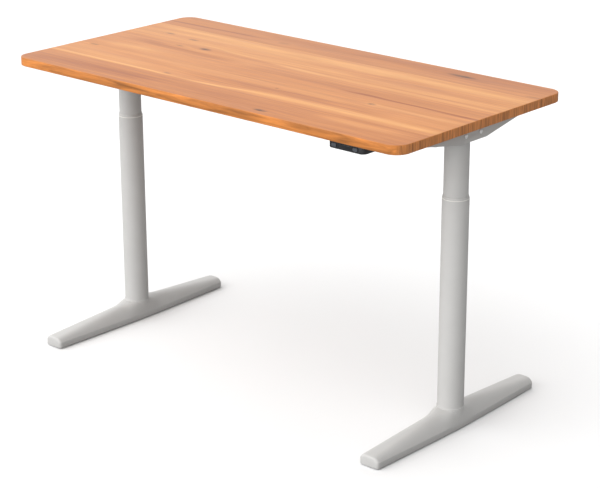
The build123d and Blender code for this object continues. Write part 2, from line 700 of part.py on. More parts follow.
def main():
    os.makedirs("parts", exist_ok=True)
    for name, make in SIDE_PIECES.items():
        shape = make()
        save("left_" + name, Pos(-COLUMN_X, COLUMN_Y, 0) * shape)
        save("right_" + name, Pos(COLUMN_X, COLUMN_Y, 0) * mirror(shape, about=Plane.YZ))
    save("worktop", worktop())
    save("front_rail", rail(COLUMN_Y - RAIL_Y))
    save("rear_rail", rail(COLUMN_Y + RAIL_Y))
    save("rail_bolts", rail_bolts())
    save("control_box_shell", control_box_shell())
    save("control_box_lid", control_box_lid())
    save("control_board", control_board())
    save("mains_inlet", mains_inlet())
    save("socket_strip", socket_strip())
    save("handset_housing", handset_housing())
    save("handset_fascia", handset_fascia())
    save("display_window", display_window())
    save("up_key", key(KEY_RIGHT_X))
    save("down_key", key(KEY_LEFT_X))
    save("handset_board", handset_board())
    save("panel_screws", panel_screws())


main()
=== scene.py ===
"""Looks of a height adjustable desk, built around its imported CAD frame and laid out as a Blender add-on."""

import math

import bmesh
import bpy
from bpy.props import FloatProperty, FloatVectorProperty, IntProperty, PointerProperty
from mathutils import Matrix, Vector


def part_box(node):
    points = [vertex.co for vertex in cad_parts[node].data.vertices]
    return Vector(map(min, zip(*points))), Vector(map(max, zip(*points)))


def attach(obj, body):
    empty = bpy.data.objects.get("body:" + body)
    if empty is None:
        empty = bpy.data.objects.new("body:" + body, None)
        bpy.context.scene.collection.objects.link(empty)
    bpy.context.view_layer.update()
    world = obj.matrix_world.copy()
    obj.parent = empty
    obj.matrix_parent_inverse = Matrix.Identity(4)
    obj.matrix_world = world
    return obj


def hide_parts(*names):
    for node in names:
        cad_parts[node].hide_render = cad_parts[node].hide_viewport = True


bl_info = {
    "name": "Height Adjustable Desk",
    "version": (1, 0, 0),
    "blender": (4, 5, 0),
    "location": "View3D > Sidebar > Desk",
    "description": "Builds the worktop, columns, feet, underframe and handset of a height adjustable desk",
    "category": "Object",
}

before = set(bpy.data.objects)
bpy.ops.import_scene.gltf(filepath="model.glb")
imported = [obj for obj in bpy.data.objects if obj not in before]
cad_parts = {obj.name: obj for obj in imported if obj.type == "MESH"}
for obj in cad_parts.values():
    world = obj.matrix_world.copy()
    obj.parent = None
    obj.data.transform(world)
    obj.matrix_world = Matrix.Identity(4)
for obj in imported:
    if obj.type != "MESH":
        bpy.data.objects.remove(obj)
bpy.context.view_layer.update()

MM = 0.001
SIDES = ("left", "right")
FRAME_BODY = "lifting_frame"


def hex_colour(text):
    """An sRGB hex colour as linear RGBA."""
    parts = [int(text[i:i + 2], 16) / 255 for i in (0, 2, 4)]
    linear = [c / 12.92 if c <= 0.04045 else ((c + 0.055) / 1.055) ** 2.4 for c in parts]
    return (*linear, 1.0)


def colour_property(name, description, text):
    return FloatVectorProperty(name=name, description=description, subtype="COLOR", size=4,
                               min=0.0, max=1.0, default=hex_colour(text))


def length_property(name, description, default):
    return FloatProperty(name=name, description=description, default=default, min=0.0, unit="LENGTH",
                         precision=4)


# ---- settings ---------------------------------------------------------------------------------------

class DeskSizes(bpy.types.PropertyGroup):
    """Sizes of the finishing detail; the main sizes come from the CAD frame."""
    top_corner: length_property("Worktop corner", "Plan radius of the worktop's corners", 41 * MM)
    top_ease: length_property("Worktop edge", "Radius of the worktop's eased edges", 2.2 * MM)
    metal_ease: length_property("Metal edge", "Radius of the castings' edges", 1.2 * MM)
    small_ease: length_property("Fine edge", "Radius of the edges of small parts", 0.35 * MM)
    foot_tip: length_property("Foot tip", "Plan radius of the foot's tips", 9 * MM)
    foot_crown: length_property("Foot crown", "Radius over the foot's tip", 5 * MM)
    foot_edge: length_property("Foot edge", "Radius between the foot's sides and crown", 3 * MM)
    round_steps: IntProperty(name="Round steps", description="Segments of a full turn", default=96, min=16)


class DeskColours(bpy.types.PropertyGroup):
    """Colours of the visible finishes."""
    wood_light: colour_property("Sapwood", "Light streaks of the worktop", "DBA062")
    wood_mid: colour_property("Wood", "Main colour of the worktop", "C3814B")
    wood_dark: colour_property("Heartwood", "Pinkish brown of the darker planks", "9E5C33")
    wood_knot: colour_property("Knots", "Knots and bark lines", "4A3328")
    # Long edges and ends: darker than the top, partly as painted shade on the upright faces (the ends also
    # from their real end grain).
    shaded_wood_edge: colour_property("Long edge", "Long edges of the worktop", "B97337")
    shaded_wood_end: colour_property("End grain", "Ends of the planks", "BC7944")
    coat: colour_property("Powder coat", "Columns, feet and underframe", "BBBAB8")
    plastic: colour_property("Handset", "Moulded plastic of the handset", "1C1D20")


# ---- nodes ------------------------------------------------------------------------------------------

# Most of a noise texture's values lie between these.
NOISE_LOW = 0.3
NOISE_HIGH = 0.7


def add_node(tree, kind, inputs=None, **settings):
    """Adds a node with its settings, and links or sets its inputs."""
    node = tree.nodes.new(kind)
    for key, value in settings.items():
        setattr(node, key, value)
    for key, value in (inputs or {}).items():
        if isinstance(value, bpy.types.NodeSocket):
            tree.links.new(value, node.inputs[key])
        else:
            node.inputs[key].default_value = value
    return node


def set_ramp(node, stops, interpolation="LINEAR"):
    """Gives a colour ramp its stops: (place, colour)."""
    ramp = node.color_ramp
    ramp.interpolation = interpolation
    while len(ramp.elements) > 1:
        ramp.elements.remove(ramp.elements[-1])
    ramp.elements[0].position = stops[0][0]
    ramp.elements[0].color = stops[0][1]
    for place, colour in stops[1:]:
        ramp.elements.new(place).color = colour


def grey(value):
    return (value, value, value, 1.0)


def new_material(name):
    """A material with an empty Principled surface, and its tree and shader."""
    material = bpy.data.materials.new(name)
    material.use_nodes = True
    tree = material.node_tree
    tree.nodes.clear()
    shader = add_node(tree, "ShaderNodeBsdfPrincipled")
    add_node(tree, "ShaderNodeOutputMaterial", {"Surface": shader.outputs["BSDF"]})
    return material, tree, shader


def speckle(tree, size, detail=2.0):
    """Even noise on object coordinates whose lumps are about size metres across, 0 to 1."""
    where = add_node(tree, "ShaderNodeTexCoord")
    return add_node(tree, "ShaderNodeTexNoise", {"Vector": where.outputs["Object"], "Scale": 1 / size,
                                                 "Detail": detail, "Roughness": 0.5}).outputs["Fac"]


def ranged(tree, fac, low, high):
    """A noise value, whose middle range is NOISE_LOW to NOISE_HIGH, brought to low..high."""
    return add_node(tree, "ShaderNodeMapRange", {"Value": fac, "From Min": NOISE_LOW, "From Max": NOISE_HIGH,
                                                 "To Min": low, "To Max": high}).outputs["Result"]


def mixed(tree, factor, a, b, blend="MIX"):
    """Two colours mixed, or multiplied."""
    return add_node(tree, "ShaderNodeMix", {"Factor": factor, "A": a, "B": b}, data_type="RGBA",
                    blend_type=blend).outputs["Result"]


def tinted(tree, base, fac, low, high):
    """A colour multiplied by a grey between low and high that follows a noise."""
    return mixed(tree, 1.0, base, ranged(tree, fac, low, high), "MULTIPLY")


# How much larger than its grit a finish's patches of colour are.
MOTTLE = 60


def plain_finish(name, colour, roughness, grit, metallic=0.0, bump=0.1, spread=0.04, depth=0.00005):
    """A material with slight unevenness of gloss and surface at the size of its grit, and of colour at
    many times that size."""
    material, tree, shader = new_material(name)
    fine = speckle(tree, grit)
    broad = speckle(tree, grit * MOTTLE, 3.0)
    tree.links.new(tinted(tree, colour, broad, 1 - spread, 1 + spread / 2), shader.inputs["Base Color"])
    tree.links.new(ranged(tree, fine, roughness * 0.92, roughness * 1.08), shader.inputs["Roughness"])
    height = add_node(tree, "ShaderNodeBump", {"Height": fine, "Strength": bump, "Distance": depth})
    tree.links.new(height.outputs["Normal"], shader.inputs["Normal"])
    shader.inputs["Metallic"].default_value = metallic
    return material


# ---- materials --------------------------------------------------------------------------------------

# Where the planks meet, across the worktop in millimetres from its middle line, and the tone of each
# plank from the front one to the back one: 0 is heartwood, 1 is sapwood.
PLANK_SEAMS = (-225, -96, 75, 226)
PLANK_TONES = (0.30, 0.52, 0.46, 0.62, 0.34)
# Streaks of sapwood (+) and heartwood (-): from and to along the worktop, place across it at each end and
# width in millimetres, and strength.
STREAKS = (
    (-720, -190, -212, -214, 8, 0.42),
    (-150, 120, -222, -196, 9, 0.40),
    (60, 720, -196, -186, 20, 0.30),
    (-720, -350, -150, -170, 45, 0.14),
    (-200, 500, -165, -150, 30, -0.22),
    (380, 720, -92, -88, 12, 0.30),
    (250, 720, -28, -32, 8, -0.50),
    (-130, 720, 0, -10, 40, -0.12),
    (-650, -420, -60, -50, 35, 0.25),
    (-600, -180, 24, 14, 26, -0.34),
    (-60, 720, 58, 56, 12, 0.22),
    (-420, 120, 92, 60, 10, 0.20),
    (0, 420, 128, 160, 14, -0.16),
    (150, 720, 118, 125, 24, -0.18),
    (-640, 720, 196, 190, 20, 0.24),
    (-620, 300, 150, 172, 16, 0.14),
    (-720, -330, 268, 272, 6, -0.50),
    (-300, 720, 300, 318, 30, -0.14),
    (100, 720, 250, 244, 16, 0.16),
    (-720, -200, -300, -290, 34, -0.22),
    (380, 640, -262, -262, 26, 0.24),
)
# Knots: place along and across the worktop, length and width in millimetres, and how dark they are.
KNOTS = (
    (402, 297, 118, 24, 1.0),
    (-225, 268, 60, 22, 0.30),
    (-568, 140, 46, 15, 0.60),
    (-455, 124, 52, 18, 0.62),
    (-438, 48, 42, 13, 0.62),
    (-345, 62, 50, 24, 1.0),
    (-637, -104, 44, 16, 0.62),
    (-232, -204, 40, 14, 0.40),
    (108, -130, 16, 10, 0.70),
    (400, -88, 30, 17, 0.75),
    (225, -322, 54, 20, 0.90),
    (680, 240, 64, 12, 0.40),
)
TOP_DEPTH = 700
# Half the width of a glue line, as a share of the worktop's depth.
GLUE_LINE = 0.0016
# How far a plank's own figure is from the next one's in the noise, in metres for the full range of tones.
PLANK_OFFSET = 17.0
# How far the streaks wander, in metres.
STREAK_SWAY = 0.022


def oiled_wood(colours):
    """Solid edge-glued planks, sanded and oiled: satin, with streaks of sapwood, knots and open grain."""
    material, tree, shader = new_material("oiled_plank_wood")
    where = add_node(tree, "ShaderNodeTexCoord")
    place = where.outputs["Object"]
    axes = add_node(tree, "ShaderNodeSeparateXYZ", {"Vector": place})

    def work(operation, a, b=0.0, c=0.0):
        return add_node(tree, "ShaderNodeMath", {0: a, 1: b, 2: c}, operation=operation).outputs[0]

    def span(value, start, end, low, high, curve="SMOOTHSTEP"):
        """Goes smoothly from low to high while the value goes from start to end."""
        return add_node(tree, "ShaderNodeMapRange", {"Value": value, "From Min": start, "From Max": end,
                                                     "To Min": low, "To Max": high},
                        interpolation_type=curve).outputs["Result"]

    def stretched_noise(vector, scale, detail, rough, distortion=0.0):
        """Noise with this many lumps a metre along each axis."""
        coords = add_node(tree, "ShaderNodeMapping", {"Vector": vector, "Scale": scale}).outputs[0]
        return add_node(tree, "ShaderNodeTexNoise", {"Vector": coords, "Scale": 1.0, "Detail": detail,
                                                     "Roughness": rough, "Distortion": distortion}
                        ).outputs["Fac"]

    # Knots darken the wood and push the grain around them.
    knot_mask = 0.0
    push = 0.0
    for x, y, length, width, dark in KNOTS:
        centre = (x * MM, y * MM, 0.0)
        away = add_node(tree, "ShaderNodeVectorMath", {0: place, 1: centre}, operation="SUBTRACT").outputs[0]
        size = (2 / (length * MM), 2 / (width * MM), 0.0)
        flat = add_node(tree, "ShaderNodeVectorMath", {0: away, 1: size}, operation="MULTIPLY").outputs[0]
        reach = add_node(tree, "ShaderNodeVectorMath", {0: flat}, operation="LENGTH").outputs["Value"]
        knot_mask = work("MAXIMUM", span(reach, 0.2, 1.15, dark, 0.0), knot_mask)
        wide = span(reach, 0.0, 4.0, 0.7, 0.0, "SMOOTHERSTEP")
        side = work("SUBTRACT", axes.outputs["Y"], y * MM)
        push = work("MULTIPLY_ADD", work("MULTIPLY", wide, side), -1.0, push)

    # Each plank takes its own place in the noise, so that no figure crosses a seam.
    across = work("MULTIPLY_ADD", axes.outputs["Y"], 1 / (TOP_DEPTH * MM), 0.5)
    starts = [0.0] + [0.5 + seam / TOP_DEPTH for seam in PLANK_SEAMS]
    tones = add_node(tree, "ShaderNodeValToRGB", {"Fac": across})
    set_ramp(tones, [(start, grey(tone)) for start, tone in zip(starts, PLANK_TONES)], "CONSTANT")
    figure_x = work("MULTIPLY_ADD", tones.outputs["Color"], PLANK_OFFSET, axes.outputs["X"])
    figure_y = work("ADD", axes.outputs["Y"], push)
    grain = add_node(tree, "ShaderNodeCombineXYZ", {"X": figure_x, "Y": figure_y, "Z": axes.outputs["Z"]}
                     ).outputs["Vector"]
    broad = stretched_noise(grain, (1.7, 24.0, 9.0), 3.0, 0.5, 0.6)
    lines = stretched_noise(grain, (2.6, 130.0, 40.0), 5.0, 0.62, 0.4)

    # The streaks wander a little and have fibrous edges.
    sway = stretched_noise(grain, (3.0, 2.0, 1.0), 2.0, 0.5)
    swayed = work("MULTIPLY_ADD", work("SUBTRACT", sway, 0.5), STREAK_SWAY, figure_y)
    tone = work("MULTIPLY_ADD", work("SUBTRACT", broad, 0.5), 0.55, tones.outputs["Color"])
    ragged = work("MULTIPLY", work("SUBTRACT", lines, 0.5), 1.6)
    for start, end, near, far, width, strength in STREAKS:
        middle = span(axes.outputs["X"], start * MM, end * MM, near * MM, far * MM)
        off = work("ABSOLUTE", work("SUBTRACT", swayed, middle))
        off = work("MULTIPLY_ADD", off, 1 / (width * MM), ragged)
        band = span(off, 0.1, 1.2, strength, 0.0)
        fade_in = span(axes.outputs["X"], (start - 60) * MM, (start + 90) * MM, 0.0, 1.0)
        fade_out = span(axes.outputs["X"], (end - 90) * MM, (end + 60) * MM, 1.0, 0.0)
        tone = work("MULTIPLY_ADD", work("MULTIPLY", band, fade_in), fade_out, tone)
    tone = work("MULTIPLY_ADD", work("SUBTRACT", lines, 0.5), 0.85, tone)
    body = add_node(tree, "ShaderNodeValToRGB", {"Fac": tone})
    set_ramp(body, [(0.0, tuple(colours.wood_dark)), (0.5, tuple(colours.wood_mid)),
                    (1.0, tuple(colours.wood_light))])

    # Fine open grain: short dark pores along the boards.
    pores = stretched_noise(grain, (22.0, 620.0, 300.0), 3.0, 0.6)
    wood = tinted(tree, body.outputs["Color"], pores, 0.94, 1.03)
    hair = stretched_noise(grain, (7.0, 260.0, 120.0), 4.0, 0.65)
    wood = tinted(tree, wood, hair, 0.90, 1.08)

    # Thin glue lines.
    seams = add_node(tree, "ShaderNodeValToRGB", {"Fac": across})
    stops = [(0.0, grey(1.0))]
    for start in starts[1:]:
        stops += [(start - GLUE_LINE, grey(1.0)), (start, grey(0.80)), (start + GLUE_LINE, grey(1.0))]
    set_ramp(seams, stops)
    joined = mixed(tree, 1.0, wood, seams.outputs["Color"], "MULTIPLY")
    bark = stretched_noise(grain, (60.0, 240.0, 60.0), 3.0, 0.6)
    knotty = work("MINIMUM", work("MULTIPLY", knot_mask, ranged(tree, bark, 0.45, 1.15)), 0.9)
    top_wood = mixed(tree, knotty, joined, tuple(colours.wood_knot))

    # The upright faces take darker colours that are partly painted shade. The long edges are painted darker
    # and more saturated as shade. The ends are darker from their end grain, which soaks up more oil, and from
    # painted shade on top, and they show the rings on edge.
    facing = add_node(tree, "ShaderNodeSeparateXYZ", {"Vector": where.outputs["Normal"]})
    upright = span(work("ABSOLUTE", facing.outputs["Z"]), 0.55, 0.95, 1.0, 0.0)
    end_face = span(work("ABSOLUTE", facing.outputs["X"]), 0.55, 0.85, 0.0, 1.0)
    slanted = stretched_noise(place, (5.0, 40.0, 60.0), 5.0, 0.6, 0.8)
    shaded_long_wood = tinted(tree, tuple(colours.shaded_wood_edge), slanted, 0.50, 1.50)
    rings = stretched_noise(place, (3.0, 170.0, 9.0), 4.0, 0.65, 0.5)
    shaded_end_wood = tinted(tree, tuple(colours.shaded_wood_end), rings, 0.45, 1.50)
    shaded_side_wood = mixed(tree, end_face, shaded_long_wood, shaded_end_wood)
    tree.links.new(mixed(tree, upright, top_wood, shaded_side_wood), shader.inputs["Base Color"])
    tree.links.new(ranged(tree, lines, 0.44, 0.56), shader.inputs["Roughness"])
    shader.inputs["Specular IOR Level"].default_value = 0.28
    height = add_node(tree, "ShaderNodeBump", {"Height": pores, "Strength": 0.25, "Distance": 0.00015})
    tree.links.new(height.outputs["Normal"], shader.inputs["Normal"])
    return material


def powder_coat(colours):
    """Fine-texture polyester powder coat on steel and cast aluminium: an even matt with faint pebbling."""
    return plain_finish("powder_coated_metal", tuple(colours.coat), 0.50, 0.0007, bump=0.22, spread=0.02)


def zinc_plate():
    """Bright zinc plating on steel fasteners: pale half-gloss metal under a thin clear passivate."""
    return plain_finish("zinc_plated_steel", hex_colour("F1F3F5"), 0.34, 0.0008, metallic=0.45, spread=0.06)


def turned_steel():
    """Turned bar steel, lightly oiled: fine rings left by the tool."""
    return plain_finish("turned_steel", hex_colour("9C9A97"), 0.34, 0.0004, metallic=1.0, spread=0.10)


def die_cast():
    """Die-cast aluminium as it leaves the mould: pale, dull and slightly mottled."""
    return plain_finish("die_cast_aluminium", hex_colour("B6B7B9"), 0.52, 0.0012, metallic=1.0, bump=0.2)


def motor_paint():
    """Black dip paint on the motor's steel case: thin, with a low even gloss."""
    return plain_finish("dip_painted_steel", hex_colour("232326"), 0.42, 0.0009, spread=0.10)


def moulded_abs(colours):
    """Spark-eroded ABS moulding: near black, matt, with a fine leathery grit."""
    return plain_finish("moulded_abs", tuple(colours.plastic), 0.46, 0.0006, bump=0.3, spread=0.06)


def smoked_acrylic():
    """Polished smoked acrylic of the display: black and glossy."""
    return plain_finish("smoked_acrylic", hex_colour("141518"), 0.10, 0.002, bump=0.02, spread=0.04)


def key_rubber():
    """Soft-touch silicone keys: dark grey with a faint bloom that catches the light."""
    return plain_finish("silicone_key", hex_colour("3C3F45"), 0.55, 0.0005, bump=0.15)


def acetal():
    """Natural acetal glides and nut: milky white and waxy."""
    return plain_finish("natural_acetal", hex_colour("E6E5DF"), 0.38, 0.0010, spread=0.03)


def pad_rubber():
    """Moulded rubber pads: black and fully matt, with a slight mottle."""
    return plain_finish("moulded_rubber", hex_colour("1F1F20"), 0.80, 0.0008, bump=0.3, spread=0.15)


def solder_mask():
    """Epoxy glass board under green solder mask: smooth, semi-gloss, with the weave just showing."""
    return plain_finish("solder_mask_board", hex_colour("1F5B38"), 0.35, 0.0006, spread=0.12)


# ---- mesh helpers -----------------------------------------------------------------------------------

SHARP_ANGLE = 40.0
# Vertices closer than this are one, in metres.
MERGE_DISTANCE = 1e-6

MATERIALS = {}


def put_piece(bm, name, body, finish, *nodes, smooth=35.0):
    """Makes a finished piece of a bmesh, in place of the CAD nodes it stands for."""
    bmesh.ops.remove_doubles(bm, verts=bm.verts, dist=MERGE_DISTANCE)
    bmesh.ops.recalc_face_normals(bm, faces=bm.faces)
    mesh = bpy.data.meshes.new(name)
    bm.to_mesh(mesh)
    bm.free()
    mesh.shade_smooth()
    mesh.set_sharp_from_angle(angle=math.radians(smooth))
    mesh.materials.append(MATERIALS[finish])
    piece = bpy.data.objects.new(name, mesh)
    bpy.context.scene.collection.objects.link(piece)
    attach(piece, body)
    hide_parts(*nodes)


def bevel(bm, edges, width, segments):
    bmesh.ops.bevel(bm, geom=edges, offset=width, offset_type="OFFSET", segments=segments, profile=0.5,
                    affect="EDGES", clamp_overlap=True, material=-1)


def sharp_edges(bm):
    """The edges whose faces meet at more than SHARP_ANGLE."""
    limit = math.radians(SHARP_ANGLE)
    return [e for e in bm.edges if e.is_manifold and e.calc_face_angle(0.0) > limit]


def turned(profile, centre, steps):
    """A body of revolution: profile points (radius, height) turned about the upright axis at centre."""
    bm = bmesh.new()
    verts = [bm.verts.new((r, 0.0, z)) for r, z in profile]
    closed = profile[0][0] > 1e-9
    pairs = list(zip(verts, verts[1:])) + ([(verts[-1], verts[0])] if closed else [])
    edges = [bm.edges.new(pair) for pair in pairs]
    bmesh.ops.spin(bm, geom=verts + edges, cent=(0, 0, 0), axis=(0, 0, 1), angle=math.tau, steps=steps,
                   use_merge=True)
    bmesh.ops.translate(bm, verts=bm.verts, vec=centre)
    bmesh.ops.remove_doubles(bm, verts=bm.verts, dist=MERGE_DISTANCE)
    return bm


def append(bm, other):
    """Adds another bmesh to a bmesh, and frees the other."""
    mesh = bpy.data.meshes.new("part")
    other.to_mesh(mesh)
    other.free()
    bm.from_mesh(mesh)
    bpy.data.meshes.remove(mesh)


def combine(bm, tool, operation):
    """Joins a closed body to a bmesh, or cuts it away, with an applied Boolean modifier."""
    objects = []
    for body in (bm, tool):
        bmesh.ops.recalc_face_normals(body, faces=body.faces)
        mesh = bpy.data.meshes.new("body")
        body.to_mesh(mesh)
        objects.append(bpy.data.objects.new("body", mesh))
        bpy.context.scene.collection.objects.link(objects[-1])
    tool.free()
    modifier = objects[0].modifiers.new("combine", "BOOLEAN")
    modifier.operation = operation
    modifier.solver = "EXACT"
    modifier.object = objects[1]
    bpy.context.view_layer.update()
    depsgraph = bpy.context.evaluated_depsgraph_get()
    result = bpy.data.meshes.new_from_object(objects[0].evaluated_get(depsgraph))
    bm.clear()
    bm.from_mesh(result)
    meshes = [result] + [o.data for o in objects]
    for o in objects:
        bpy.data.objects.remove(o)
    for mesh in meshes:
        bpy.data.meshes.remove(mesh)


def arc(cx, cz, radius, start, end, steps):
    """Points of an arc in a profile, angles in degrees."""
    angles = [math.radians(start + (end - start) * i / steps) for i in range(steps + 1)]
    return [(cx + radius * math.cos(a), cz + radius * math.sin(a)) for a in angles]


def refined_copy(node, ease):
    """A merged copy of a CAD node's mesh with its sharp edges eased."""
    bm = bmesh.new()
    bm.from_mesh(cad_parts[node].data)
    bmesh.ops.remove_doubles(bm, verts=bm.verts, dist=2 * MERGE_DISTANCE)
    bmesh.ops.dissolve_limit(bm, angle_limit=math.radians(0.6), use_dissolve_boundaries=False,
                             verts=bm.verts, edges=bm.edges)
    if ease > 0:
        bevel(bm, sharp_edges(bm), ease, 2)
    return bm


def column_axis(side):
    low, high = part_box(side + "_lower_tube")
    return Vector(((low.x + high.x) / 2, (low.y + high.y) / 2, 0.0))


def leg_body(side):
    return side + "_leg"


# ---- worktop ----------------------------------------------------------------------------------------

class DESK_OT_worktop(bpy.types.Operator):
    """Build the plank worktop with rounded corners and eased edges"""
    bl_idname = "desk.worktop"
    bl_label = "Worktop"

    def execute(self, context):
        sizes = context.scene.desk_sizes
        low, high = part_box("worktop")
        bm = bmesh.new()
        bmesh.ops.create_cube(bm, size=1.0)
        bmesh.ops.scale(bm, verts=bm.verts, vec=high - low)
        bmesh.ops.translate(bm, verts=bm.verts, vec=(high + low) / 2)
        upright = [e for e in bm.edges if abs((e.verts[0].co - e.verts[1].co).z) > 0.5 * (high.z - low.z)]
        bevel(bm, upright, sizes.top_corner, 16)
        rims = [e for e in bm.edges if abs(e.verts[0].co.z - e.verts[1].co.z) < 1e-6
                and any(abs(f.normal.z) < 0.5 for f in e.link_faces)]
        bevel(bm, rims, sizes.top_ease, 4)
        put_piece(bm, "plank_worktop", FRAME_BODY, "wood", "worktop", smooth=30)
        return {"FINISHED"}


# ---- feet -------------------------------------------------------------------------------------------

# The foot's section, in millimetres: height of its upright sides, of its crown at the tip and at the column,
# how much narrower each side is at the tip, and the power of that narrowing along the foot.
FOOT_SIDE_HEIGHT = 20
FOOT_TIP_HEIGHT = 32
FOOT_RIDGE_HEIGHT = 60
FOOT_NARROWING = 9.5
FOOT_TAPER_POWER = 1.3
# The crown is a plain arch (2). Its flatness rises by as much again at the tip, and by 6 under the column,
# within about 48 mm of it.
CROWN_POWER = 2.0
CROWN_UNDER_COLUMN = 6.0
COLUMN_REACH = 48
# Where the foot's sections are, from the middle out and then in from the tip.
FOOT_STATIONS = (0, 10, 20, 28, 36, 44, 52, 62, 74, 90, 110, 140, 170, 200, 230, 260, 290, 315)
TIP_STATIONS = (20, 14, 9, 6.5, 4.5, 3, 1.8, 0.9, 0.3, 0.0)
# The column's round seat: radius, edge and depth.
SEAT_R = 37.5
SEAT_EDGE = 1.2
SEAT_DEPTH = 30
# Below the foot: the hollow's ends and steps along the foot, its wall, and the bolts' and pads' sizes and
# places.
FOOT_HOLLOW = (70, 85, 100, 130, 160, 190, 220, 250)
FOOT_WALL = 5
FOOT_BOLT_CIRCLE = 22
FOOT_BOLT_R = 4.02
FOOT_BOLT_SEAT = 30
FOOT_COUNTERBORE_R = 8
PAD_Y = 292
PAD_STUD_R = 15.02
PAD_STUD_TOP = 9.02


class FootShape:
    """The foot's section along its length, in metres from the column's axis."""

    def __init__(self, side, sizes):
        low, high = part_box(side + "_foot")
        self.reach = (high.y - low.y) / 2
        self.mid_width = (high.x - low.x) / 2
        self.tip_width = self.mid_width - FOOT_NARROWING * MM
        self.base = low.z
        self.side_height = FOOT_SIDE_HEIGHT * MM
        self.tip_height = FOOT_TIP_HEIGHT * MM
        self.ridge_height = FOOT_RIDGE_HEIGHT * MM
        self.tip_radius = sizes.foot_tip
        self.crown_radius = sizes.foot_crown

    def ridge(self, y):
        return self.ridge_height - (self.ridge_height - self.tip_height) * abs(y) / self.reach

    def half_width(self, y):
        along = abs(y) / self.reach
        return self.mid_width - (self.mid_width - self.tip_width) * along ** FOOT_TAPER_POWER

    def flatness(self, y):
        under = CROWN_UNDER_COLUMN * math.exp(-((abs(y) / (COLUMN_REACH * MM)) ** 3))
        return CROWN_POWER + under + CROWN_POWER * (abs(y) / self.reach) ** 2

    def drawn_in(self, y, radius):
        """How far a rounding of this radius over the tip draws the section in."""
        inward = radius - (self.reach - abs(y))
        if inward <= 0:
            return 0.0
        return radius - math.sqrt(max(radius ** 2 - inward ** 2, 0.0))

    def section(self, y, inset=0.0, steps=28):
        """Points of the section at y, (x, z), from one side of the base over the crown to the other.
        With an inset it is the section of the hollow below the foot."""
        width = self.half_width(y) - self.drawn_in(y, self.tip_radius) - inset
        crown = self.drawn_in(y, self.crown_radius)
        side = self.side_height - 0.5 * crown
        rise = self.ridge(y) - crown - side
        side -= inset
        base = self.base if inset == 0 else self.base - 3 * MM
        power = self.flatness(y)
        points = []
        for i in range(steps + 1):
            across = math.cos(math.pi * i / steps)
            points.append((width * across, side + rise * (1 - abs(across) ** power)))
        return points + [(-width, base), (width, base)]

    def stations(self):
        """Places of the sections along the foot, closer together at the column and at the tips."""
        half = [y * MM for y in FOOT_STATIONS] + [self.reach - d * MM for d in TIP_STATIONS]
        return [-y for y in reversed(half[1:])] + half


class DESK_OT_feet(bpy.types.Operator):
    """Build the long cast feet, each with its seat for the column, hollows and bolt holes"""
    bl_idname = "desk.feet"
    bl_label = "Feet"

    def execute(self, context):
        sizes = context.scene.desk_sizes
        for side in SIDES:
            axis = column_axis(side)
            shape = FootShape(side, sizes)
            bm = bmesh.new()
            self.add_rings(bm, shape, shape.stations())
            bmesh.ops.recalc_face_normals(bm, faces=bm.faces)
            self.ease_edges(bm, shape, sizes)
            combine(bm, self.seat(side, sizes), "UNION")
            combine(bm, self.cutters(side, shape, sizes), "DIFFERENCE")
            bmesh.ops.translate(bm, verts=bm.verts, vec=axis)
            put_piece(bm, side + "_cast_foot", leg_body(side), "coat", side + "_foot", smooth=38)
        return {"FINISHED"}

    def add_rings(self, bm, shape, stations, inset=0.0):
        """Adds a closed body through the foot's sections at the stations."""
        rings = []
        for y in stations:
            ring = [bm.verts.new((x, y, z)) for x, z in shape.section(y, inset)]
            rings.append([bm.edges.new(pair) for pair in zip(ring, ring[1:] + ring[:1])])
        for near, far in zip(rings, rings[1:]):
            bmesh.ops.bridge_loops(bm, edges=near + far)
        for ring in (rings[0], rings[-1]):
            bmesh.ops.edgeloop_fill(bm, edges=ring)

    def ease_edges(self, bm, shape, sizes):
        """Rounds the long edges between the upright sides and the crown, and those at the base."""
        def runs_along(edge, height):
            near, far = (v.co for v in edge.verts)
            level = all(abs(end.z - height) < 0.3 * MM for end in (near, far))
            lengthways = abs(near.y - far.y) > MERGE_DISTANCE
            return level and lengthways and edge.calc_face_angle(0.0) > math.radians(12)

        bevel(bm, [e for e in bm.edges if runs_along(e, shape.side_height)], sizes.foot_edge, 4)
        bevel(bm, [e for e in bm.edges if runs_along(e, shape.base)], sizes.metal_ease, 2)

    def seat(self, side, sizes):
        """The round seat of the column."""
        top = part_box(side + "_foot")[1].z
        radius = SEAT_R * MM
        ease = SEAT_EDGE * MM
        foot = top - SEAT_DEPTH * MM
        profile = [(0.0, foot), (radius, foot)]
        profile += arc(radius - ease, top - ease, ease, 0, 90, 5) + [(0.0, top)]
        return turned(profile, (0, 0, 0), sizes.round_steps)

    def cutters(self, side, shape, sizes):
        """The hollows below the foot, the pads' sockets and the bolts' counterbores and holes."""
        bottom = shape.base - 1 * MM
        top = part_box(side + "_foot")[1].z + 1 * MM
        seat = FOOT_BOLT_SEAT * MM
        socket = [(0.0, bottom), (PAD_STUD_R * MM, bottom), (PAD_STUD_R * MM, PAD_STUD_TOP * MM),
                  (0.0, PAD_STUD_TOP * MM)]
        hole = [(0.0, bottom), (FOOT_COUNTERBORE_R * MM, bottom), (FOOT_COUNTERBORE_R * MM, seat),
                (FOOT_BOLT_R * MM, seat), (FOOT_BOLT_R * MM, top), (0.0, top)]
        reach = FOOT_BOLT_CIRCLE * MM * math.sqrt(0.5)
        bm = bmesh.new()
        for sign in (-1, 1):
            self.add_rings(bm, shape, [sign * y * MM for y in FOOT_HOLLOW], FOOT_WALL * MM)
            append(bm, turned(socket, (0, sign * PAD_Y * MM, 0), sizes.round_steps))
            for across in (-1, 1):
                append(bm, turned(hole, (across * reach, sign * reach, 0), sizes.round_steps // 2))
        return bm


# ---- columns ----------------------------------------------------------------------------------------

# The tubes: CAD node, name of the piece, wall and rounding of the rim.
OUTER_TUBE = ("lower_tube", "outer_tube", 1.5 * MM, 0.5 * MM)
INNER_TUBE = ("upper_tube", "inner_tube", 2.0 * MM, 0.4 * MM)
COLLAR_BORE = 33.3 * MM
